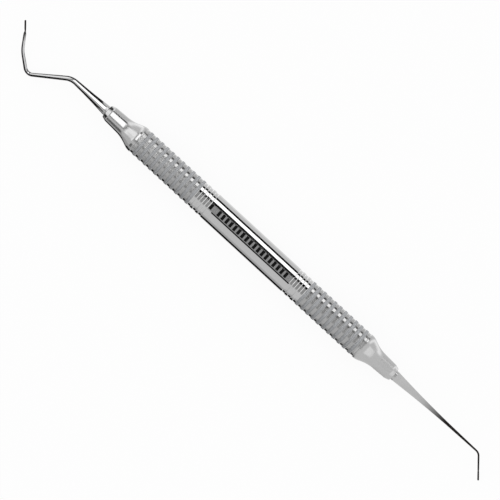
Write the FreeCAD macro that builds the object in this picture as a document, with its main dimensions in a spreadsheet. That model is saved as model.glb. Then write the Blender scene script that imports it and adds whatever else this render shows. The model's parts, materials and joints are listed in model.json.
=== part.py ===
"""Double-ended dental explorer with a hollow handle.

The axis of the handle is X, and the origin is its middle. End A is at -X and end B at +X. The explorer
lies on the plane Z = -handle_diameter / 2: the handle touches it along a line, and the elbow of end A
touches it beside that line. Lengths are in millimetres, and angles are in degrees.
"""
import FreeCAD, Part
import math
import os
import Sketcher
from FreeCAD import Placement, Rotation, Vector

SIZES = (
    # Grip tube
    ("handle_diameter", 8.0, "outside of the grip tube and of the ferrules' collars"),
    ("tube_length", 80.7, "grip tube, from seam to seam"),
    ("tube_wall", 0.8, "wall of the grip tube"),
    ("tube_chamfer", 0.2, "chamfer at both ends of the tube's bore"),
    ("groove_count", 14, "ring grooves on each side, the seam's groove among them"),
    ("groove_pitch", 1.916, "from one ring groove to the next"),
    ("groove_width", 1.1, "ring groove at the surface"),
    ("groove_floor", 0.85, "ring groove at its floor"),
    ("groove_depth", 0.16, "ring groove"),
    # Ferrules
    ("spigot_length", 8.0, "spigot of the ferrule inside the tube"),
    ("spigot_chamfer", 0.4, "lead-in chamfer of the spigot"),
    ("collar_length", 1.57, "from the seam to the corner where the cone starts"),
    ("cone_length", 3.57, "from that corner to the corner where the waist starts"),
    ("waist_diameter", 5.26, "ferrule where the waist starts"),
    ("nose_diameter", 4.74, "ferrule where its nose starts to narrow"),
    ("nose_length", 1.3, "conical nose at the mouth"),
    ("mouth_diameter", 3.9, "ferrule at its mouth, before the edge is rounded"),
    ("ferrule_length", 12.25, "from the seam to the mouth"),
    ("shoulder_blend", 3.6, "radius between collar and cone"),
    ("waist_blend", 10.2, "radius between cone and waist"),
    ("nose_blend", 1.5, "radius between waist and nose"),
    ("mouth_round", 0.25, "radius around the mouth"),
    # Brazed joints
    ("braze_gap", 0.025, "clearance on the radius that the filler metal is drawn into"),
    ("ring_width", 1.2, "braze ring, along the handle"),
    ("ring_depth", 0.3, "seat that is turned for a braze ring"),
    ("spigot_ring_place", 3.6, "from the seam to the middle of the spigot's ring"),
    ("tang_ring_place", 6.0, "from the mouth to the middle of the tang's ring"),
    # Working ends: what both have
    ("tang_diameter", 2.9, "tang, and the shank where it leaves the ferrule"),
    ("tang_length", 12.0, "tang, and the depth of its bore"),
    ("tang_chamfer", 0.25, "chamfer at the foot of the tang"),
    ("tip_round", 0.17, "radius around the blunt end of the tip"),
    # End A, contra-angled. A diameter is the one at the far end of its stretch.
    ("a_land", 0.75, "cylindrical stretch outside the mouth"),
    ("a_shank", 9.8, "hollow-ground taper"),
    ("a_shank_hollow", 160.0, "radius of that taper's side"),
    ("a_shank_diameter", 1.64, "end of the hollow-ground taper"),
    ("a_straight", 0.8, "last straight run in line with the handle"),
    ("a_straight_diameter", 1.56, "start of the first bend"),
    ("a_bend_radius", 4.5, "first bend, at the centre line"),
    ("a_bend_turn", 39.0, "away from the handle's axis"),
    ("a_bend_diameter", 1.42, "end of the first bend"),
    ("a_rise", 9.92, "long angled run to the elbow"),
    ("a_rise_diameter", 1.10, "start of the elbow"),
    ("a_elbow_radius", 2.0, "elbow, at the centre line"),
    ("a_elbow_turn", -81.5, "back towards the handle's axis"),
    ("a_elbow_diameter", 1.02, "end of the elbow"),
    ("a_fall", 3.5, "run behind the elbow"),
    ("a_fall_diameter", 0.94, "start of the knee"),
    ("a_knee_radius", 9.0, "knee, at the centre line"),
    ("a_knee_turn", -18.0, "a little steeper across the axis"),
    ("a_knee_diameter", 0.88, "end of the knee"),
    ("a_terminal", 3.4, "last run of the shank"),
    ("a_terminal_diameter", 0.76, "end of the shank"),
    ("a_neck", 0.73, "short cone down to the neck"),
    ("a_neck_diameter", 0.40, "neck"),
    ("a_toe_radius", 2.0, "toe, at the centre line"),
    ("a_toe_turn", 7.5, "the tip leans back a little"),
    ("a_toe_diameter", 0.40, "end of the toe"),
    ("a_flare", 0.45, "from the neck to the tip's full thickness"),
    ("a_flare_diameter", 0.49, "start of the working tip"),
    ("a_tip", 2.43, "working tip"),
    ("a_tip_diameter", 0.49, "blunt end of the tip"),
    # End B, straight and slender
    ("b_land", 0.65, "cylindrical stretch outside the mouth"),
    ("b_shank", 18.2, "hollow-ground taper"),
    ("b_shank_hollow", 318.0, "radius of that taper's side"),
    ("b_shank_diameter", 0.87, "end of the hollow-ground taper"),
    ("b_straight", 11.35, "slender straight run in line with the handle"),
    ("b_straight_diameter", 0.51, "start of the bend"),
    ("b_bend_radius", 2.0, "bend, at the centre line"),
    ("b_bend_turn", 49.9, "away from the handle's axis"),
    ("b_bend_diameter", 0.50, "end of the bend"),
    ("b_terminal", 4.05, "last run of the shank"),
    ("b_terminal_diameter", 0.46, "end of the shank"),
    ("b_neck", 0.45, "short cone down to the neck"),
    ("b_neck_diameter", 0.39, "neck"),
    ("b_flare", 0.35, "from the neck to the tip's full thickness"),
    ("b_flare_diameter", 0.47, "start of the working tip"),
    ("b_tip", 2.44, "working tip"),
    ("b_tip_diameter", 0.47, "blunt end of the tip"),
)

# Stretches of each working end after its hollow-ground taper, in order. A bend has a radius and a turn,
# and every other stretch is straight.
STRETCHES = {
    "a": ("straight", "bend", "rise", "elbow", "fall", "knee", "terminal", "neck", "toe", "flare", "tip"),
    "b": ("straight", "bend", "terminal", "neck", "flare", "tip"),
}
BENDS = ("bend", "elbow", "knee", "toe")
OUTWARD = {"a": -1, "b": 1}

HANDLE_RADIUS = "Sizes.handle_diameter / 2"
BORE_RADIUS = "Sizes.handle_diameter / 2 - Sizes.tube_wall"
SPIGOT_RADIUS = "Sizes.handle_diameter / 2 - Sizes.tube_wall - Sizes.braze_gap"
GROOVE_RADIUS = "Sizes.handle_diameter / 2 - Sizes.groove_depth"
TANG_RADIUS = "Sizes.tang_diameter / 2"
TANG_BORE_RADIUS = "Sizes.tang_diameter / 2 + Sizes.braze_gap"
SEAM = "Sizes.tube_length / 2"
MOUTH = "Sizes.tube_length / 2 + Sizes.ferrule_length"

# How far the centre line of the elbow of end A stands off the handle's axis, the shank's radius there,
# and the roll about that axis which brings the elbow down to the plane that the handle lies on.
ELBOW_REACH = ("(Sizes.a_rise * sin(Sizes.a_bend_turn * 1deg)"
               " + (Sizes.a_bend_radius + Sizes.a_elbow_radius) * (1 - cos(Sizes.a_bend_turn * 1deg)))")
ELBOW_RADIUS = ("(Sizes.a_rise_diameter + (Sizes.a_rise_diameter - Sizes.a_elbow_diameter)"
                " * Sizes.a_bend_turn / Sizes.a_elbow_turn) / 2")
ROLL = f"asin(({HANDLE_RADIUS} - {ELBOW_RADIUS}) / {ELBOW_REACH})"

SMALL = 1e-6
NEAR = 1e-4


def make_sheet(doc):
    """The driving dimensions: a name, a number and a note in each row."""
    sheet = doc.addObject("Spreadsheet::Sheet", "Sizes")
    for row, (name, size, note) in enumerate(SIZES, 1):
        sheet.set(f"A{row}", name)
        sheet.set(f"B{row}", str(size))
        sheet.set(f"C{row}", note)
        sheet.setAlias(f"B{row}", name)
    doc.recompute()
    return sheet


def number(doc, expression):
    """The present value of an expression, as a plain number."""
    found = doc.Sizes.evalExpression(expression)
    return float(getattr(found, "Value", found))


def make_body(doc, label):
    body = doc.addObject("PartDesign::Body", label)
    body.Label = label
    doc.recompute()
    return body


def origin(body, role):
    """One of the body's own origin planes or axes."""
    return next(feature for feature in body.Origin.OriginFeatures if feature.Role == role)


def make_sketch(body, name, support, mode="FlatFace"):
    sketch = body.newObject("Sketcher::SketchObject", f"{body.Label}_{name}")
    sketch.AttachmentSupport = [support]
    sketch.MapMode = mode
    return sketch


def bind(sketch, constraint, expression):
    """Adds a constraint with a size, and binds that size to the sheet."""
    index = sketch.addConstraint(constraint)
    sketch.setExpression(f"Constraints[{index}]", expression)


def pin_vertex(sketch, line, x, radius):
    """Fixes the start of a line at x along the axis and at a radius from it."""
    doc = sketch.Document
    places = (("DistanceX", x, -2), ("DistanceY", radius, -1))
    for kind, expression, axis in places:
        size = number(doc, expression)
        if abs(size) < SMALL:
            sketch.addConstraint(Sketcher.Constraint("PointOnObject", line, 1, axis))
        else:
            bind(sketch, Sketcher.Constraint(kind, -1, 1, line, 1, size), expression)


def hollow_arc(start, end, radius):
    """An arc between two points of an outline that sinks towards the axis."""
    chord = end - start
    sag = radius - math.sqrt(radius ** 2 - (chord.Length / 2) ** 2)
    across = Vector(chord.y, -chord.x, 0).normalize()
    return Part.Arc(start, (start + end) / 2 + across * sag, end)


def turned_outline(body, name, corners, hollow=None):
    """A closed half outline of a turned piece. Each corner is an x and a radius, as expressions.

    hollow is the number of one side and an expression for its radius: that side sinks in as an arc.
    """
    doc = body.Document
    sketch = make_sketch(body, name, (origin(body, "XY_Plane"), ""))
    points = [Vector(number(doc, x), number(doc, radius), 0) for x, radius in corners]
    for side, start in enumerate(points):
        end = points[(side + 1) % len(points)]
        if hollow and side == hollow[0]:
            sketch.addGeometry(hollow_arc(start, end, number(doc, hollow[1])), False)
        else:
            sketch.addGeometry(Part.LineSegment(start, end), False)
    for side in range(len(points)):
        following = (side + 1) % len(points)
        sketch.addConstraint(Sketcher.Constraint("Coincident", side, 2, following, 1))
    for side, (x, radius) in enumerate(corners):
        pin_vertex(sketch, side, x, radius)
    if hollow:
        bind(sketch, Sketcher.Constraint("Radius", hollow[0], number(doc, hollow[1])), hollow[1])
    doc.recompute()
    return sketch


def turn_about_axis(body, kind, name, sketch):
    """A full Revolution or Groove of a sketch about the handle's axis."""
    feature = body.newObject(f"PartDesign::{kind}", f"{body.Label}_{name}")
    feature.Profile = sketch
    feature.ReferenceAxis = (origin(body, "X_Axis"), [""])
    feature.Angle = 360
    body.Document.recompute()
    return feature


def ring_edge(feature, x, radius):
    """The name of the round edge at x along the axis with that radius."""
    for index, edge in enumerate(feature.Shape.Edges, 1):
        round_edge = isinstance(edge.Curve, Part.Circle)
        if round_edge and abs(edge.Curve.Center.x - x) < NEAR and abs(edge.Curve.Radius - radius) < NEAR:
            return f"Edge{index}"
    raise ValueError(f"{feature.Label}: no round edge at x {x:.3f}, radius {radius:.3f}")


def dress(body, kind, name, edges, expression):
    """A Fillet or Chamfer on round edges, each given as an x and a radius."""
    doc = body.Document
    base = body.Tip
    feature = body.newObject(f"PartDesign::{kind}", f"{body.Label}_{name}")
    feature.Base = (base, [ring_edge(base, number(doc, x), number(doc, radius)) for x, radius in edges])
    feature.setExpression("Radius" if kind == "Fillet" else "Size", expression)
    doc.recompute()
    return feature


def pad_ring(body, outer, inner, width):
    """A ring about the axis, centred on the body's origin. Outer and inner are diameters."""
    doc = body.Document
    sketch = make_sketch(body, "section", (origin(body, "YZ_Plane"), ""))
    for circle, diameter in enumerate((outer, inner)):
        size = number(doc, diameter)
        sketch.addGeometry(Part.Circle(Vector(), Vector(0, 0, 1), size / 2), False)
        sketch.addConstraint(Sketcher.Constraint("Coincident", circle, 3, -1, 1))
        bind(sketch, Sketcher.Constraint("Diameter", circle, size), diameter)
    pad = body.newObject("PartDesign::Pad", f"{body.Label}_pad")
    pad.Profile = sketch
    pad.Midplane = True
    pad.setExpression("Length", width)
    doc.recompute()
    return pad


def cut_ring_grooves(body, end):
    """Ring grooves from one seam inwards: a groove about the seam, repeated towards the middle."""
    doc = body.Document
    sign = OUTWARD[end]
    seam = f"{sign} * {SEAM}"
    clear = f"{HANDLE_RADIUS} + Sizes.groove_depth"
    flare = "(Sizes.groove_width - Sizes.groove_floor)"
    corners = (
        (f"{seam} - Sizes.groove_floor / 2", GROOVE_RADIUS),
        (f"{seam} + Sizes.groove_floor / 2", GROOVE_RADIUS),
        (f"{seam} + Sizes.groove_floor / 2 + {flare}", clear),
        (f"{seam} - Sizes.groove_floor / 2 - {flare}", clear),
    )
    before = body.Tip.Shape.Volume
    sketch = turned_outline(body, f"groove_{end}_outline", corners)
    groove = turn_about_axis(body, "Groove", f"groove_{end}", sketch)
    pattern = body.newObject("PartDesign::LinearPattern", f"{body.Label}_grooves_{end}")
    pattern.Originals = [groove]
    pattern.Direction = (origin(body, "X_Axis"), [""])
    pattern.Reversed = sign > 0
    pattern.setExpression("Length", "Sizes.groove_pitch * (Sizes.groove_count - 1)")
    pattern.setExpression("Occurrences", "Sizes.groove_count")
    body.Tip = pattern
    doc.recompute()
    if body.Tip.Shape.Volume > before - SMALL:
        raise ValueError(f"the ring grooves of end {end} cut nothing")


def grip_tube(doc):
    """Hollow handle: smooth in the middle, with ring grooves on both sides of it."""
    body = make_body(doc, "grip_tube")
    pad_ring(body, "Sizes.handle_diameter", "Sizes.handle_diameter - 2 * Sizes.tube_wall",
             "Sizes.tube_length")
    bore_ends = [(f"{sign} * {SEAM}", BORE_RADIUS) for sign in OUTWARD.values()]
    dress(body, "Chamfer", "bore_chamfer", bore_ends, "Sizes.tube_chamfer")
    for end in OUTWARD:
        cut_ring_grooves(body, end)
    return body


def ferrule(doc, end):
    """Turned cone that closes one end of the tube. Its own origin is at the seam, and +X points out."""
    body = make_body(doc, f"ferrule_{end}")
    ring_floor = f"{BORE_RADIUS} - Sizes.ring_depth"
    ring_middle = "-Sizes.spigot_ring_place"
    cone_end = "Sizes.collar_length + Sizes.cone_length"
    nose_start = "Sizes.ferrule_length - Sizes.nose_length"
    bore_foot = "Sizes.ferrule_length - Sizes.tang_length"
    corners = (
        ("-Sizes.spigot_length", "0"),
        ("-Sizes.spigot_length", SPIGOT_RADIUS),
        (f"{ring_middle} - Sizes.ring_width / 2", SPIGOT_RADIUS),
        (f"{ring_middle} - Sizes.ring_width / 2", ring_floor),
        (f"{ring_middle} + Sizes.ring_width / 2", ring_floor),
        (f"{ring_middle} + Sizes.ring_width / 2", SPIGOT_RADIUS),
        ("0", SPIGOT_RADIUS),
        ("0", GROOVE_RADIUS),
        ("Sizes.groove_floor / 2", GROOVE_RADIUS),
        ("Sizes.groove_width / 2", HANDLE_RADIUS),
        ("Sizes.collar_length", HANDLE_RADIUS),
        (cone_end, "Sizes.waist_diameter / 2"),
        (nose_start, "Sizes.nose_diameter / 2"),
        ("Sizes.ferrule_length", "Sizes.mouth_diameter / 2"),
        ("Sizes.ferrule_length", TANG_BORE_RADIUS),
        (bore_foot, TANG_BORE_RADIUS),
        (bore_foot, "0"),
    )
    turn_about_axis(body, "Revolution", "turning", turned_outline(body, "outline", corners))
    dress(body, "Fillet", "shoulder", [("Sizes.collar_length", HANDLE_RADIUS)], "Sizes.shoulder_blend")
    dress(body, "Fillet", "waist", [(cone_end, "Sizes.waist_diameter / 2")], "Sizes.waist_blend")
    dress(body, "Fillet", "nose", [(nose_start, "Sizes.nose_diameter / 2")], "Sizes.nose_blend")
    dress(body, "Fillet", "mouth", [("Sizes.ferrule_length", "Sizes.mouth_diameter / 2")],
          "Sizes.mouth_round")
    dress(body, "Chamfer", "lead_in", [("-Sizes.spigot_length", SPIGOT_RADIUS)], "Sizes.spigot_chamfer")
    if OUTWARD[end] < 0:
        body.Placement = Placement(Vector(), Rotation(Vector(0, 0, 1), 180))
    body.setExpression("Placement.Base.x", f"{OUTWARD[end]} * {SEAM}")
    return body


def braze_ring(doc, label, outer_radius, depth, middle, end):
    """Ring of filler metal between its seat and the bore around it."""
    body = make_body(doc, label)
    pad_ring(body, f"2 * ({outer_radius})", f"2 * ({outer_radius} - {depth})", "Sizes.ring_width")
    body.setExpression("Placement.Base.x", f"{OUTWARD[end]} * ({middle})")
    return body


def shank_root(body, end):
    """Tang, land and hollow-ground taper, turned in one. The body's origin is at the ferrule's mouth."""
    ring_middle = "-Sizes.tang_ring_place"
    ring_floor = f"{TANG_BORE_RADIUS} - Sizes.ring_depth"
    land_end = f"Sizes.{end}_land"
    taper_end = f"Sizes.{end}_land + Sizes.{end}_shank"
    corners = (
        ("-Sizes.tang_length", "0"),
        ("-Sizes.tang_length", TANG_RADIUS),
        (f"{ring_middle} - Sizes.ring_width / 2", TANG_RADIUS),
        (f"{ring_middle} - Sizes.ring_width / 2", ring_floor),
        (f"{ring_middle} + Sizes.ring_width / 2", ring_floor),
        (f"{ring_middle} + Sizes.ring_width / 2", TANG_RADIUS),
        (land_end, TANG_RADIUS),
        (taper_end, f"Sizes.{end}_shank_diameter / 2"),
        (taper_end, "0"),
    )
    taper_side = corners.index((land_end, TANG_RADIUS))
    outline = turned_outline(body, "root_outline", corners, (taper_side, f"Sizes.{end}_shank_hollow"))
    turn_about_axis(body, "Revolution", "root", outline)
    dress(body, "Chamfer", "tang_chamfer", [("-Sizes.tang_length", TANG_RADIUS)], "Sizes.tang_chamfer")


def draw_bend(sketch, start, heading, radius, turn):
    """Adds an arc that leaves start at a heading, and returns where it ends. Angles are in radians."""
    side = math.copysign(1, turn)
    centre = start + Vector(-math.sin(heading), math.cos(heading), 0) * radius * side
    spoke = start - centre
    middle = centre + Rotation(Vector(0, 0, 1), math.degrees(turn / 2)).multVec(spoke)
    finish = centre + Rotation(Vector(0, 0, 1), math.degrees(turn)).multVec(spoke)
    sketch.addGeometry(Part.Arc(start, middle, finish), False)
    return finish


def shank_line(body, end):
    """The line that the shank and the tip follow, as straight runs and tangent bends in one plane."""
    doc = body.Document
    sketch = make_sketch(body, "line", (origin(body, "XY_Plane"), ""))
    first_x = f"Sizes.{end}_land + Sizes.{end}_shank"
    place = Vector(number(doc, first_x), 0, 0)
    heading = 0.0
    last_out = None
    for index, stretch in enumerate(STRETCHES[end]):
        size = f"Sizes.{end}_{stretch}"
        if stretch in BENDS:
            radius = number(doc, f"{size}_radius")
            turn = math.radians(number(doc, f"{size}_turn"))
            place = draw_bend(sketch, place, heading, radius, turn)
            heading += turn
            # A sketch counts an arc's ends anticlockwise, so a clockwise bend goes in at its end 2.
            way_in, way_out = (1, 2) if turn > 0 else (2, 1)
            bind(sketch, Sketcher.Constraint("Radius", index, radius), f"{size}_radius")
            bind(sketch, Sketcher.Constraint("Angle", index, abs(turn)), f"abs({size}_turn) * 1deg")
        else:
            length = number(doc, size)
            finish = place + Vector(math.cos(heading), math.sin(heading), 0) * length
            sketch.addGeometry(Part.LineSegment(place, finish), False)
            place = finish
            way_in, way_out = 1, 2
            bind(sketch, Sketcher.Constraint("Distance", index, length), size)
        if last_out is None:
            pin_vertex(sketch, index, first_x, "0")
            sketch.addConstraint(Sketcher.Constraint("Horizontal", index))
        else:
            sketch.addConstraint(Sketcher.Constraint("Tangent", index - 1, last_out, index, way_in))
        last_out = way_out
    doc.recompute()
    return sketch


def shank_sections(body, end, line):
    """A round section at the start of the line, and one at the far end of every stretch."""
    doc = body.Document
    stretches = STRETCHES[end]
    sections = []
    for index in range(len(stretches) + 1):
        before = index - 1
        starts_a_run = index < len(stretches) and stretches[index] not in BENDS
        run, place = (index, 0.0) if starts_a_run else (before, 1.0)
        sketch = make_sketch(body, f"section_{index}", (line, f"Edge{run + 1}"), "NormalToEdge")
        sketch.MapPathParameter = place
        diameter = f"Sizes.{end}_{stretches[before] if index else 'shank'}_diameter"
        size = number(doc, diameter)
        sketch.addGeometry(Part.Circle(Vector(), Vector(0, 0, 1), size / 2), False)
        sketch.addConstraint(Sketcher.Constraint("Coincident", 0, 3, -1, 1))
        bind(sketch, Sketcher.Constraint("Diameter", 0, size), diameter)
        sections.append(sketch)
    doc.recompute()
    return sections


def sweep_stretches(body, end, line, sections):
    """One tapered pipe along each stretch. Each is compared with a cone of its length."""
    doc = body.Document
    for index, stretch in enumerate(STRETCHES[end]):
        before = body.Tip.Shape.Volume
        pipe = body.newObject("PartDesign::AdditivePipe", f"{body.Label}_{stretch}")
        pipe.Profile = sections[index]
        pipe.Spine = (line, [f"Edge{index + 1}"])
        pipe.Sections = [(sections[index + 1], [""])]
        pipe.Transformation = "Multisection"
        pipe.Mode = "Standard"
        doc.recompute()
        start = sections[index].Shape.Edges[0].Curve.Radius
        finish = sections[index + 1].Shape.Edges[0].Curve.Radius
        length = line.Shape.Edges[index].Length
        cone = math.pi * length * (start ** 2 + start * finish + finish ** 2) / 3
        added = pipe.Shape.Volume - before
        if abs(added - cone) > 0.01 * cone:
            raise ValueError(f"{pipe.Label}: swept {added:.4f} mm3, expected {cone:.4f} mm3")


def round_tip(body, line):
    """Rounds the edge around the blunt end of the tip."""
    base = body.Tip
    end_point = line.Shape.Edges[-1].lastVertex().Point
    for index, edge in enumerate(base.Shape.Edges, 1):
        if isinstance(edge.Curve, Part.Circle) and (edge.Curve.Center - end_point).Length < NEAR:
            fillet = body.newObject("PartDesign::Fillet", f"{body.Label}_tip_round")
            fillet.Base = (base, [f"Edge{index}"])
            fillet.setExpression("Radius", "Sizes.tip_round")
            body.Document.recompute()
            return
    raise ValueError(f"{body.Label}: no round edge at the end of the tip")


def explorer_end(doc, end):
    """Working end in one piece of wire: tang, taper, bent shank, neck and tip.

    Its own origin is at the ferrule's mouth, +X points out, and the bends lie on the side of +Y.
    """
    body = make_body(doc, f"explorer_end_{end}")
    shank_root(body, end)
    line = shank_line(body, end)
    sections = shank_sections(body, end, line)
    sweep_stretches(body, end, line, sections)
    round_tip(body, line)
    half_turn = "vector(0; 0; 1)" if OUTWARD[end] < 0 else "vector(1; 0; 0)"
    body.setExpression("Placement",
                       f"placement(vector({OUTWARD[end]} * ({MOUTH}); 0; 0);"
                       f" rotation(vector(1; 0; 0); {ROLL}) * rotation({half_turn}; 180deg))")
    return body


def build(doc):
    """Every sub-part, in the order of assembly."""
    make_sheet(doc)
    parts = [grip_tube(doc)]
    for end in OUTWARD:
        parts.append(ferrule(doc, end))
        parts.append(explorer_end(doc, end))
        parts.append(braze_ring(doc, f"spigot_braze_ring_{end}", BORE_RADIUS,
                                "Sizes.ring_depth", f"{SEAM} - Sizes.spigot_ring_place", end))
        parts.append(braze_ring(doc, f"tang_braze_ring_{end}", TANG_BORE_RADIUS,
                                "Sizes.ring_depth", f"{MOUTH} - Sizes.tang_ring_place", end))
    doc.recompute()
    return parts


def check(doc, parts):
    """Stops the build if anything failed to compute or is not one valid solid."""
    for thing in doc.Objects:
        if "Invalid" in thing.State or "Error" in thing.State:
            raise ValueError(f"{thing.Label} failed: {thing.State}")
    for part in parts:
        shape = part.Shape
        if shape.isNull() or not shape.isValid() or len(shape.Solids) != 1:
            raise ValueError(f"{part.Label} is not one valid solid")


def main():
    doc = FreeCAD.newDocument("dental_explorer")
    parts = build(doc)
    check(doc, parts)
    os.makedirs("parts", exist_ok=True)
    for part in parts:
        part.Shape.exportStep(f"parts/{part.Label}.step")
        box = part.Shape.optimalBoundingBox(False)
        print(f"{part.Label}: {part.Shape.Volume:.3f} mm3, x {box.XMin:.3f} to {box.XMax:.3f},"
              f" y {box.YMin:.3f} to {box.YMax:.3f}, z {box.ZMin:.3f} to {box.ZMax:.3f}")
    print(f"roll about the handle's axis: {number(doc, ROLL):.3f} degrees")


main()
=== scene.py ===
"""Looks of a double-ended dental explorer: a knurled and ring-grooved hollow grip, two turned
ferrules and two ground wire ends, all of stainless steel, lying on a white table.
+X runs along the handle towards end B and +Z is up. Lengths are metres."""

import json
import math

import bpy
import numpy as np
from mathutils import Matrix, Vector


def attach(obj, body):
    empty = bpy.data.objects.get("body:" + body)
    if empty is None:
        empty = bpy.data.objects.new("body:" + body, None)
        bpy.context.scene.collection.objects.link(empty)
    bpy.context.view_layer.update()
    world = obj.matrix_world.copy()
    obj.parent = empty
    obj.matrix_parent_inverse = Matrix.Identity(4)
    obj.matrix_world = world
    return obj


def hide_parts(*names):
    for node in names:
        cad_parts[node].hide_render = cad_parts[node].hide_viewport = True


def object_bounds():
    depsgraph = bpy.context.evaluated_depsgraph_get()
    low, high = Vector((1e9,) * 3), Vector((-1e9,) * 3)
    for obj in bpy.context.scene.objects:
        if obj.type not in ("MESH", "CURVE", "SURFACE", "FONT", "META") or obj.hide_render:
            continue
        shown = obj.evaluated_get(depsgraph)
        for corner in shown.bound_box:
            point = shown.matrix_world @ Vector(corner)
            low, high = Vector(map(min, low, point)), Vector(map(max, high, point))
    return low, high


MM = 0.001

# The grip's surface
SEGMENTS = 180            # round the grip, two to each knurl point
HAIR = 0.001 * MM         # keeps the grip's surface just inside the CAD one
SOFT_EDGE = 0.04 * MM     # how far a groove's corner is eased
KNURL_PITCH = 0.28 * MM   # from point to point
KNURL_DEPTH = 0.032 * MM
POLISHED_LANDS = 2        # lands next to the smooth middle that stay unknurled, on each side
POLISHED, TURNED, KNURLED = 0, 1, 2   # finishes, in the order of the grip's materials
SHARP_ANGLE = math.radians(12)        # between faces that aren't shaded as one

# The band marked on the smooth middle of the grip: bars between two rules, and a square before them
RULES_START, RULES_END = -13.3 * MM, 15.0 * MM
UPPER_RULE = (1.04 * MM, 1.56 * MM)
LOWER_RULE = (-1.32 * MM, -0.94 * MM)
BARS_START, BARS_END = -11.9 * MM, 13.9 * MM
BARS = (-0.78 * MM, 0.88 * MM)
BAR_PITCH = 1.43 * MM
BAR_SHARE = 0.62
SQUARE_START, SQUARE_END = -14.75 * MM, -13.85 * MM
PRINT_BLUR = 0.03 * MM

# Where the ends turn dark towards their tips, along the handle: a painted dark reflection in the base
# colour
PAINTED_DARK_TIP_A = (-81.5 * MM, -83.5 * MM)
PAINTED_DARK_TIP_B = (61.0 * MM, 72.0 * MM)

# The light tent. Angles are from straight up towards +Y, in degrees. A direction's sideways share
# runs from -1 towards end A to 1 towards end B.
FACES_A, FACES_B = (-0.055, -0.09), (0.056, 0.085)   # sideways shares at which each end's part starts

# Its walls: how bright each is, and the angles between which one turns into the next
WALL_LOW, WALL_SIDE, WALL_OVERHEAD, WALL_FAR, WALL_FAR_LOW = 0.44, 0.62, 0.30, 0.66, 0.8
LOW_TO_SIDE, SIDE_TO_OVERHEAD = (-105.0, -88.0), (-38.0, -22.0)
OVERHEAD_TO_FAR, FAR_TO_FAR_LOW = (28.0, 60.0), (124.0, 134.0)
WALL_END_B = 0.68
CORNERS_EXTRA, CORNERS_SHARES, CORNERS_RISE = 0.45, (0.26, 0.48), (40.0, 75.0)
END_CARD, END_CARD_SPAN, END_CARD_START = 0.95, (-45.0, 50.0), (0.60, 0.64)

# Its softbox, whose edges have two angles each: where it is square to the handle, and on end A's
# side, where it reaches further in. Black cards edge it.
SOFTBOX_INNER, SOFTBOX_OUTER = (46.0, -16.0), (73.0, 46.0)
SOFTBOX_END = (-0.36, -0.30)
SOFTBOX_STRENGTH = 1.7
CARD_WIDTH = 20.0
LOW_CARD, LOW_CARD_SHADE = (-95.0, -60.0), 0.85
BLACK_SKIRT = (-156.0, -119.0)

# Its two short lamps beyond end A: their sideways shares and their angles
RISE_LAMP = (-0.64, -0.46), (-50.0, -6.0)   # seen by the slanting run of end A
NOSE_LAMP = (-0.80, -0.50), (-12.0, 38.0)   # seen by the nose and the cone of ferrule A
SHORT_LAMP_STRENGTH = 1.15

SOFT_WHITE = 1.1          # what all but reflections see of the tent

# Two upright black flags, one on each side of end A, that only reflections see
FLAG_NEAR, FLAG_FAR = -57.0 * MM, -135.0 * MM
FLAG_DISTANCE = 12.0 * MM
FLAG_LOW, FLAG_HIGH = -12.0 * MM, 9.0 * MM

# The camera, straight above
VIEW_WIDTH = 0.1351
LENS = 200.0
SENSOR = 36.0
HANDLE_TURN = math.radians(42.6)
HANDLE_CENTRE_RIGHT = 0.14 * MM   # how far the handle's middle lies from the picture's
HANDLE_CENTRE_UP = 1.918 * MM

TABLE_SIZE = 6.0
TABLE_GLOW = 0.92


# ---------------------------------------------------------------- node trees

class Nodes:
    """A node tree written as nested calls: each method adds one node and returns its output."""

    def __init__(self, tree):
        self.tree = tree
        tree.nodes.clear()

    def add(self, kind, values=(), **settings):
        node = self.tree.nodes.new("ShaderNode" + kind)
        for name, value in settings.items():
            setattr(node, name, value)
        for key, value in dict(values).items():
            self.put(node.inputs[key], value)
        return node

    def put(self, socket, value):
        if isinstance(value, bpy.types.NodeSocket):
            self.tree.links.new(value, socket)
        else:
            socket.default_value = value

    def math(self, operation, *values):
        return self.add("Math", enumerate(values), operation=operation).outputs[0]

    def total(self, first, *others):
        for other in others:
            first = self.math("ADD", first, other)
        return first

    def product(self, first, *others):
        for other in others:
            first = self.math("MULTIPLY", first, other)
        return first

    def step(self, value, start, end):
        """0 below start and 1 above end, with a smooth rise between them."""
        inputs = {"Value": value, "From Min": start, "From Max": end}
        return self.add("MapRange", inputs, interpolation_type="SMOOTHSTEP").outputs[0]

    def between(self, value, low, high, blur):
        """1 inside low to high and 0 outside, blurred at both ends."""
        above = self.step(value, low - blur, low + blur)
        below = self.step(value, high + blur, high - blur)
        return self.product(above, below)

    def spread(self, value, low, high):
        """Value from 0 to 1 made to run from low to high."""
        inputs = {"Value": value, "To Min": low, "To Max": high}
        return self.add("MapRange", inputs).outputs[0]

    def blend(self, factor, first, second):
        """The colour first where factor is 0 and second where it is 1."""
        node = self.add("Mix", data_type="RGBA")
        self.put(node.inputs[0], factor)
        self.put(node.inputs[6], first)
        self.put(node.inputs[7], second)
        return node.outputs[2]

    def stretched(self, vector, x, y, z):
        inputs = {0: vector, 1: (x, y, z)}
        return self.add("VectorMath", inputs, operation="MULTIPLY").outputs[0]

    def noise(self, vector, scale, detail=2.0, roughness=0.5):
        inputs = {"Vector": vector, "Scale": scale, "Detail": detail, "Roughness": roughness}
        return self.add("TexNoise", inputs).outputs[0]

    def bump(self, height, distance):
        return self.add("Bump", {"Height": height, "Distance": distance}).outputs[0]


def grey(level):
    return (level, level, level, 1.0)


def cool_grey(level):
    """A grey with a trace of blue."""
    return (0.98 * level, level, 1.03 * level, 1.0)


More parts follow.
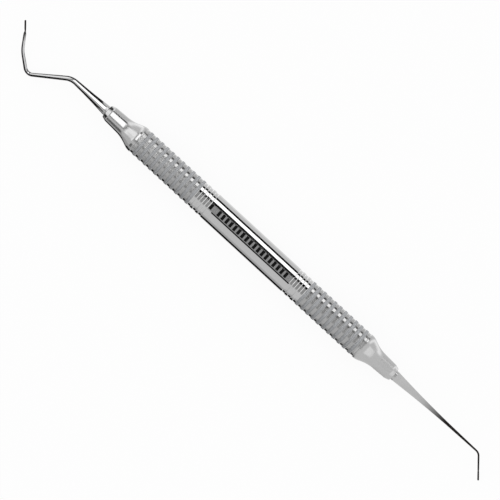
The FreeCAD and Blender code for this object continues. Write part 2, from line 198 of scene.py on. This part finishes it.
def steel(name, base_color, roughness, normal, anisotropic=0.0):
    """A new material of bare metal. The arguments are functions that make the node outputs."""
    material = bpy.data.materials.new(name)
    material.use_nodes = True
    nodes = Nodes(material.node_tree)
    shader = nodes.add("BsdfPrincipled", {"Metallic": 1.0, "Anisotropic": anisotropic})
    place = nodes.add("TexCoord").outputs["Object"]
    nodes.put(shader.inputs["Base Color"], base_color(nodes, place))
    nodes.put(shader.inputs["Roughness"], roughness(nodes, place))
    nodes.put(shader.inputs["Normal"], normal(nodes, place))
    output = nodes.add("OutputMaterial")
    nodes.put(output.inputs["Surface"], shader.outputs[0])
    return material


# ---------------------------------------------------------------- materials

def turning_lines(nodes, place, per_mm):
    """Noise drawn out round the handle's axis, as a lathe or a polishing belt leaves it."""
    drawn = nodes.stretched(place, per_mm / MM, 0.12 / MM, 0.12 / MM)
    return nodes.noise(drawn, 1.0, 3.0, 0.6)


def blotches(nodes, place, size):
    """Broad, soft variation, as handling and washing leave on steel."""
    return nodes.noise(place, 1.0 / size, 3.0, 0.55)


def band_mask(nodes, place):
    """1 on the marked band: a row of plain upright bars between two rules."""
    axes = nodes.add("SeparateXYZ", {0: place}).outputs
    along, across, up = axes[0], axes[1], axes[2]
    ruled = nodes.between(along, RULES_START, RULES_END, PRINT_BLUR)
    upper_rule = nodes.product(nodes.between(across, *UPPER_RULE, PRINT_BLUR), ruled)
    lower_rule = nodes.product(nodes.between(across, *LOWER_RULE, PRINT_BLUR), ruled)
    in_pitch = nodes.math("WRAP", nodes.math("SUBTRACT", along, BARS_START), BAR_PITCH, 0.0)
    row = nodes.product(
        nodes.between(in_pitch, 0.0, BAR_SHARE * BAR_PITCH, PRINT_BLUR),
        nodes.between(along, BARS_START, BARS_END, PRINT_BLUR),
    )
    square = nodes.between(along, SQUARE_START, SQUARE_END, PRINT_BLUR)
    bars = nodes.product(nodes.math("MAXIMUM", row, square), nodes.between(across, *BARS, PRINT_BLUR))
    drawn = nodes.math("MAXIMUM", nodes.math("MAXIMUM", lower_rule, upper_rule), bars)
    return nodes.product(drawn, nodes.math("GREATER_THAN", up, 0.0))


def polished_steel():
    """The smooth middle of the grip, with the printed band."""
    def base_color(nodes, place):
        clean = nodes.blend(blotches(nodes, place, 6 * MM), grey(0.72), grey(0.80))
        return nodes.blend(band_mask(nodes, place), clean, grey(0.012))

    def roughness(nodes, place):
        worn = nodes.total(
            nodes.product(turning_lines(nodes, place, 9.0), 0.08),
            nodes.product(blotches(nodes, place, 3 * MM), 0.06),
        )
        return nodes.total(worn, nodes.product(band_mask(nodes, place), 0.45))

    def normal(nodes, place):
        return nodes.bump(turning_lines(nodes, place, 14.0), 0.002 * MM)

    return steel("polished_handle_steel", base_color, roughness, normal)


def groove_steel():
    """Grooves between knurled lands, a little dull from the tool."""
    def base_color(nodes, place):
        return nodes.blend(blotches(nodes, place, 2 * MM), grey(0.52), grey(0.60))

    def roughness(nodes, place):
        return nodes.spread(turning_lines(nodes, place, 9.0), 0.09, 0.18)

    def normal(nodes, place):
        return nodes.bump(turning_lines(nodes, place, 14.0), 0.004 * MM)

    return steel("turned_groove_steel", base_color, roughness, normal)


def knurled_steel(radius):
    """Knurled lands, with painted shade darkening them down in the valleys."""
    def base_color(nodes, place):
        axes = nodes.add("SeparateXYZ", {0: place}).outputs
        squares = nodes.total(nodes.product(axes[1], axes[1]), nodes.product(axes[2], axes[2]))
        from_axis = nodes.math("SQRT", squares)
        # painted shade: the valleys get a darker base colour than the points
        raised = nodes.step(from_axis, radius - KNURL_DEPTH, radius)
        points = nodes.blend(blotches(nodes, place, 2 * MM), cool_grey(0.49), cool_grey(0.57))
        return nodes.blend(raised, cool_grey(0.34), points)

    def roughness(nodes, place):
        return nodes.spread(blotches(nodes, place, 0.5 * MM), 0.26, 0.40)

    def normal(nodes, place):
        return nodes.bump(nodes.noise(place, 9.0 / MM), 0.004 * MM)

    return steel("knurled_handle_steel", base_color, roughness, normal)


def turned_steel():
    """The ferrules, with fine turning marks."""
    def base_color(nodes, place):
        return nodes.blend(blotches(nodes, place, 4 * MM), grey(0.62), grey(0.70))

    def roughness(nodes, place):
        lines = nodes.product(turning_lines(nodes, place, 6.0), 0.12)
        return nodes.total(lines, nodes.product(blotches(nodes, place, 2 * MM), 0.08), 0.06)

    def normal(nodes, place):
        return nodes.bump(turning_lines(nodes, place, 8.0), 0.006 * MM)

    return steel("fine_turned_steel", base_color, roughness, normal, anisotropic=0.3)


def ground_steel():
    """The working ends, ground smooth, with a painted dark reflection that turns them near black towards
    their tips.
    """
    def base_color(nodes, place):
        along = nodes.add("SeparateXYZ", {0: place}).outputs[0]
        # painted dark reflection: the base colour turns near black towards each tip
        painted_dark_a = nodes.step(along, *PAINTED_DARK_TIP_A)
        painted_dark_b = nodes.step(along, *PAINTED_DARK_TIP_B)
        bright = nodes.blend(blotches(nodes, place, 3 * MM), grey(0.62), grey(0.74))
        return nodes.blend(nodes.math("MAXIMUM", painted_dark_a, painted_dark_b), bright, (0.026, 0.023, 0.021, 1))

    def roughness(nodes, place):
        return nodes.spread(blotches(nodes, place, 0.8 * MM), 0.05, 0.16)

    def normal(nodes, place):
        return nodes.bump(nodes.noise(place, 6.0 / MM, 3.0), 0.002 * MM)

    return steel("ground_tip_steel", base_color, roughness, normal)


def braze_metal():
    """The filler metal, yellowish and dull."""
    def base_color(nodes, place):
        bright, dim = (0.78, 0.70, 0.55, 1), (0.66, 0.60, 0.48, 1)
        return nodes.blend(blotches(nodes, place, 0.6 * MM), bright, dim)

    def roughness(nodes, place):
        return nodes.spread(blotches(nodes, place, 0.3 * MM), 0.35, 0.6)

    def normal(nodes, place):
        return nodes.bump(nodes.noise(place, 4.0 / MM), 0.01 * MM)

    return steel("braze_metal", base_color, roughness, normal)


# ---------------------------------------------------------------- the grip tube

def tube_outline(node):
    """The CAD tube's outline read from its vertices: the (x, radius) corners outside, then those
    of the bore, each from one end to the other."""
    places = np.array([vertex.co for vertex in node.data.vertices])
    radii = np.hypot(places[:, 1], places[:, 2])
    to_micron = np.round(np.column_stack([places[:, 0], radii]) / MM, 3) * MM
    corners = sorted(set(map(tuple, to_micron)))
    middle_of_wall = (radii.min() + radii.max()) / 2
    outside = [(x, radius - HAIR) for x, radius in corners if radius > middle_of_wall]
    bore = [corner for corner in corners if corner[1] <= middle_of_wall]
    return outside, bore


def towards(start, end, distance):
    """The point that lies a distance from start on the way to end."""
    share = distance / math.dist(start, end)
    return tuple(a + (b - a) * share for a, b in zip(start, end))


def has_full_radius(start, end, radius):
    """True for the smooth middle and for the lands between the grooves."""
    return min(start[1], end[1]) > radius - SOFT_EDGE / 4


def smooth_rings(start, end, ends_free, finish):
    """The rings of an unknurled stretch, whose corners are eased except at a free end of the tube."""
    first = start if ends_free[0] else towards(start, end, SOFT_EDGE)
    last = end if ends_free[1] else towards(end, start, SOFT_EDGE)
    return [(x, radius, radius, finish) for x, radius in (first, last)]


def knurled_rings(start, end):
    """The rings of a knurled stretch: points and valleys in turn, staggered from row to row."""
    radius = start[1]
    valley = radius - KNURL_DEPTH
    rows = round((end[0] - start[0]) / (KNURL_PITCH / 2))
    rings = [(start[0], valley, valley, KNURLED)]
    for row in range(1, rows):
        x = start[0] + (end[0] - start[0]) * row / rows
        even, odd = (radius, valley) if row % 2 else (valley, radius)
        rings.append((x, even, odd, KNURLED))
    rings.append((end[0], valley, valley, TURNED))
    return rings


def tube_rings(outside, bore):
    """The tube as rings of vertices, round its whole section and back. Each is (x, the radius of
    the even vertices, that of the odd ones, the finish of the faces up to the next ring)."""
    radius = max(corner[1] for corner in outside)
    stretches = list(zip(outside, outside[1:]))
    full = [stretch for stretch in stretches if has_full_radius(*stretch, radius)]
    smooth_middle, *lands = sorted(full, key=lambda stretch: abs(stretch[0][0] + stretch[1][0]))
    knurled = set(lands[2 * POLISHED_LANDS:])
    knurl_start = min(abs(x) for stretch in knurled for x, _ in stretch)
    rings = [(*outside[0], outside[0][1], TURNED)]
    for number, (start, end) in enumerate(stretches):
        if (start, end) in knurled:
            rings += knurled_rings(start, end)
        else:
            ends_free = (number == 0, number == len(stretches) - 1)
            among_knurls = min(abs(start[0]), abs(end[0])) > knurl_start - SOFT_EDGE
            rings += smooth_rings(start, end, ends_free, TURNED if among_knurls else POLISHED)
    rings.append((*outside[-1], outside[-1][1], TURNED))
    rings += [(x, r, r, TURNED) for x, r in reversed(bore)]
    return rings


def ring_vertices(rings):
    """All the vertices, ring after ring, as an array."""
    numbers = np.arange(SEGMENTS)
    angles = 2 * math.pi * (numbers + 0.5) / SEGMENTS
    places = []
    for x, even, odd, _ in rings:
        radii = np.where(numbers % 2 == 0, even, odd)
        across, up = radii * np.cos(angles), radii * np.sin(angles)
        places.append(np.column_stack([np.full(SEGMENTS, x), across, up]))
    return np.concatenate(places)


def ring_faces(rings):
    """The faces between the rings, and the finish of each. A knurled one is split along the
    valley, so that each raised vertex is the point of a pyramid."""
    faces, finishes, row = [], [], 0
    for ring, (_, _, _, finish) in enumerate(rings):
        first, second = ring * SEGMENTS, (ring + 1) % len(rings) * SEGMENTS
        row = row + 1 if finish == KNURLED else 0
        for number in range(SEGMENTS):
            beside = (number + 1) % SEGMENTS
            a, b, c, d = first + number, first + beside, second + beside, second + number
            if finish != KNURLED:
                faces.append((a, b, c, d))
            elif (row + number) % 2:
                faces += [(a, b, d), (b, c, d)]
            else:
                faces += [(a, b, c), (a, c, d)]
        finishes += [finish] * (len(faces) - len(finishes))
    return faces, finishes


def grip_tube(node):
    """A detailed grip tube in place of the CAD one: eased grooves and real diamond knurling."""
    outside, bore = tube_outline(node)
    rings = tube_rings(outside, bore)
    faces, finishes = ring_faces(rings)
    mesh = bpy.data.meshes.new("knurled_grip_tube")
    mesh.from_pydata(ring_vertices(rings), [], faces)
    mesh.polygons.foreach_set("use_smooth", [finish != KNURLED for finish in finishes])
    mesh.polygons.foreach_set("material_index", finishes)
    mesh.materials.append(polished_steel())
    mesh.materials.append(groove_steel())
    mesh.materials.append(knurled_steel(max(corner[1] for corner in outside)))
    mesh.set_sharp_from_angle(angle=SHARP_ANGLE)
    tube = bpy.data.objects.new("knurled_grip_tube", mesh)
    bpy.context.scene.collection.objects.link(tube)
    return tube


# ---------------------------------------------------------------- the studio

def tent_walls(nodes, from_zenith, sideways):
    """The walls: dimmer overhead than at the sides, brightest low on the +Y side and at its far
    corners, even beyond end B, with a pale card at each end that only steep cones see."""
    rises = (
        (LOW_TO_SIDE, WALL_SIDE - WALL_LOW),
        (SIDE_TO_OVERHEAD, WALL_OVERHEAD - WALL_SIDE),
        (OVERHEAD_TO_FAR, WALL_FAR - WALL_OVERHEAD),
        (FAR_TO_FAR_LOW, WALL_FAR_LOW - WALL_FAR),
    )
    steps = [nodes.product(nodes.step(from_zenith, *angles), rise) for angles, rise in rises]
    beside = nodes.total(*steps, WALL_LOW)
    walls = nodes.spread(nodes.step(sideways, *FACES_B), beside, WALL_END_B)
    off_square = nodes.math("ABSOLUTE", sideways)
    corners = nodes.product(
        nodes.between(off_square, *CORNERS_SHARES, 0.06),
        nodes.step(from_zenith, *CORNERS_RISE),
    )
    walls = nodes.total(walls, nodes.product(corners, CORNERS_EXTRA))
    end_card = nodes.product(
        nodes.step(off_square, *END_CARD_START),
        nodes.between(from_zenith, *END_CARD_SPAN, 8.0),
    )
    return nodes.spread(end_card, walls, END_CARD)


def softbox_and_cards(nodes, from_zenith, sideways):
    """The long softbox and the black cards, as how much of each lies in a direction."""
    towards_a = nodes.step(sideways, *FACES_A)
    square_on = nodes.math("SUBTRACT", 1.0, towards_a)
    short_of_b = nodes.math("SUBTRACT", 1.0, nodes.step(sideways, *FACES_B))
    alongside = nodes.product(nodes.step(sideways, *SOFTBOX_END), short_of_b)
    past_inner = nodes.math("SUBTRACT", from_zenith, nodes.spread(towards_a, *SOFTBOX_INNER))
    past_outer = nodes.math("SUBTRACT", from_zenith, nodes.spread(towards_a, *SOFTBOX_OUTER))
    softbox = nodes.product(nodes.step(past_inner, -1.0, 1.0), nodes.step(past_outer, 1.0, -1.0))
    dark, *cards = (
        nodes.between(past_outer, 0.0, CARD_WIDTH, 1.0),
        nodes.product(nodes.between(past_inner, -CARD_WIDTH, 0.0, 1.0), square_on),
        nodes.product(nodes.between(from_zenith, *LOW_CARD, 4.0), towards_a, LOW_CARD_SHADE),
        nodes.between(from_zenith, *BLACK_SKIRT, 2.0),
    )
    for card in cards:
        dark = nodes.math("MAXIMUM", dark, card)
    return nodes.product(softbox, alongside), nodes.product(dark, alongside)


def short_lamps(nodes, from_zenith, sideways):
    """The two short lamps beyond end A, as how much of them lies in a direction."""
    lamps = []
    for shares, angles in (RISE_LAMP, NOSE_LAMP):
        within = nodes.between(sideways, *shares, 0.02)
        lamps.append(nodes.product(within, nodes.between(from_zenith, *angles, 3.0)))
    return nodes.math("MAXIMUM", *lamps)


def tent_brightness(nodes, from_zenith, sideways):
    """How bright the tent is in a direction."""
    softbox, cards = softbox_and_cards(nodes, from_zenith, sideways)
    unlit = nodes.product(
        tent_walls(nodes, from_zenith, sideways),
        nodes.math("SUBTRACT", 1.0, cards),
    )
    long_lamp = nodes.product(softbox, SOFTBOX_STRENGTH)
    beyond_a = nodes.product(short_lamps(nodes, from_zenith, sideways), SHORT_LAMP_STRENGTH)
    return nodes.math("MAXIMUM", unlit, nodes.math("MAXIMUM", long_lamp, beyond_a))


def light_tent():
    """The studio round the table. Shiny metal sees the tent: pale walls, a long softbox on the +Y
    side between black cards, a black skirt low on the other side, and two short lamps beyond end
    A. All else sees soft white."""
    world = bpy.data.worlds.new("light_tent")
    bpy.context.scene.world = world
    world.use_nodes = True
    nodes = Nodes(world.node_tree)
    direction = nodes.add("TexCoord").outputs["Generated"]
    axes = nodes.add("SeparateXYZ", {0: direction}).outputs
    from_zenith = nodes.math("DEGREES", nodes.math("ARCTAN2", axes[1], axes[2]))
    lit = tent_brightness(nodes, from_zenith, axes[0])
    shiny = nodes.add("LightPath").outputs["Is Glossy Ray"]
    white = nodes.add("Background", {"Color": grey(1.0), "Strength": SOFT_WHITE})
    tent = nodes.add("Background", {"Color": grey(1.0), "Strength": lit})
    chosen = nodes.add("MixShader", {0: shiny, 1: white.outputs[0], 2: tent.outputs[0]})
    output = nodes.add("OutputWorld")
    nodes.put(output.inputs["Surface"], chosen.outputs[0])


def dull_sheet(name, corners, cover, level):
    """A flat four-cornered sheet with a cover of one grey, and that cover's shader."""
    mesh = bpy.data.meshes.new(name)
    mesh.from_pydata(corners, [], [(0, 1, 2, 3)])
    material = bpy.data.materials.new(cover)
    material.use_nodes = True
    shader = material.node_tree.nodes["Principled BSDF"]
    shader.inputs["Base Color"].default_value = grey(level)
    shader.inputs["Roughness"].default_value = 1.0
    shader.inputs["Specular IOR Level"].default_value = 0.0
    mesh.materials.append(material)
    sheet = bpy.data.objects.new(name, mesh)
    bpy.context.scene.collection.objects.link(sheet)
    return sheet, shader


def table_top(height):
    """A plain white table lit from below, on which shadows all but vanish."""
    half = TABLE_SIZE / 2
    corners = [(-half, -half, height), (half, -half, height), (half, half, height), (-half, half, height)]
    floor, shader = dull_sheet("table_top", corners, "white_table", 0.06)
    shader.inputs["Emission Color"].default_value = grey(1.0)
    shader.inputs["Emission Strength"].default_value = TABLE_GLOW
    floor.visible_glossy = False


def black_flags():
    """Two upright sheets that give the wire of end A its dark edges."""
    for y in (-FLAG_DISTANCE, FLAG_DISTANCE):
        corners = [
            (FLAG_FAR, y, FLAG_LOW), (FLAG_NEAR, y, FLAG_LOW),
            (FLAG_NEAR, y, FLAG_HIGH), (FLAG_FAR, y, FLAG_HIGH),
        ]
        flag, _ = dull_sheet("black_flag", corners, "black_cloth", 0.01)
        flag.visible_camera = flag.visible_diffuse = flag.visible_shadow = False


def camera_above():
    """A long lens straight above, turned so that the handle runs down to the right."""
    data = bpy.data.cameras.new("camera")
    data.lens = LENS
    data.sensor_width = SENSOR
    camera = bpy.data.objects.new("camera", data)
    bpy.context.scene.collection.objects.link(camera)
    camera.rotation_euler = (0.0, 0.0, HANDLE_TURN)
    right = Vector((math.cos(HANDLE_TURN), math.sin(HANDLE_TURN), 0.0))
    up = Vector((-math.sin(HANDLE_TURN), math.cos(HANDLE_TURN), 0.0))
    above = Vector((0.0, 0.0, VIEW_WIDTH * LENS / SENSOR))
    camera.location = above - right * HANDLE_CENTRE_RIGHT - up * HANDLE_CENTRE_UP
    bpy.context.scene.camera = camera


# ---------------------------------------------------------------- the whole

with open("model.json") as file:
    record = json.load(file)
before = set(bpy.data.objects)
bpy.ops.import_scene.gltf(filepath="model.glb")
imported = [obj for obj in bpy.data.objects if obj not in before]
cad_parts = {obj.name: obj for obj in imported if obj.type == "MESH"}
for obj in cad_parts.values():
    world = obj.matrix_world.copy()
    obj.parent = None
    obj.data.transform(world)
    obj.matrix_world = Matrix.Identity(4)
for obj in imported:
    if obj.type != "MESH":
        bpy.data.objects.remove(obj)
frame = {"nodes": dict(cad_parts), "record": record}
cad_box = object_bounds()
nodes_of = frame["nodes"]

camera_above()
light_tent()
table_top(cad_box[0].z)
black_flags()
bpy.context.scene.view_settings.view_transform = "Standard"

tube = grip_tube(nodes_of["grip_tube"])
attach(tube, "root")
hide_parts("grip_tube")

finishes = {
    "ferrule_steel": turned_steel(),
    "tip_steel": ground_steel(),
    "braze_filler": braze_metal(),
}
for part in frame["record"]["subparts"]:
    if part["material_slot"] in finishes:
        for material_slot in nodes_of[part["node"]].material_slots:
            material_slot.material = finishes[part["material_slot"]]
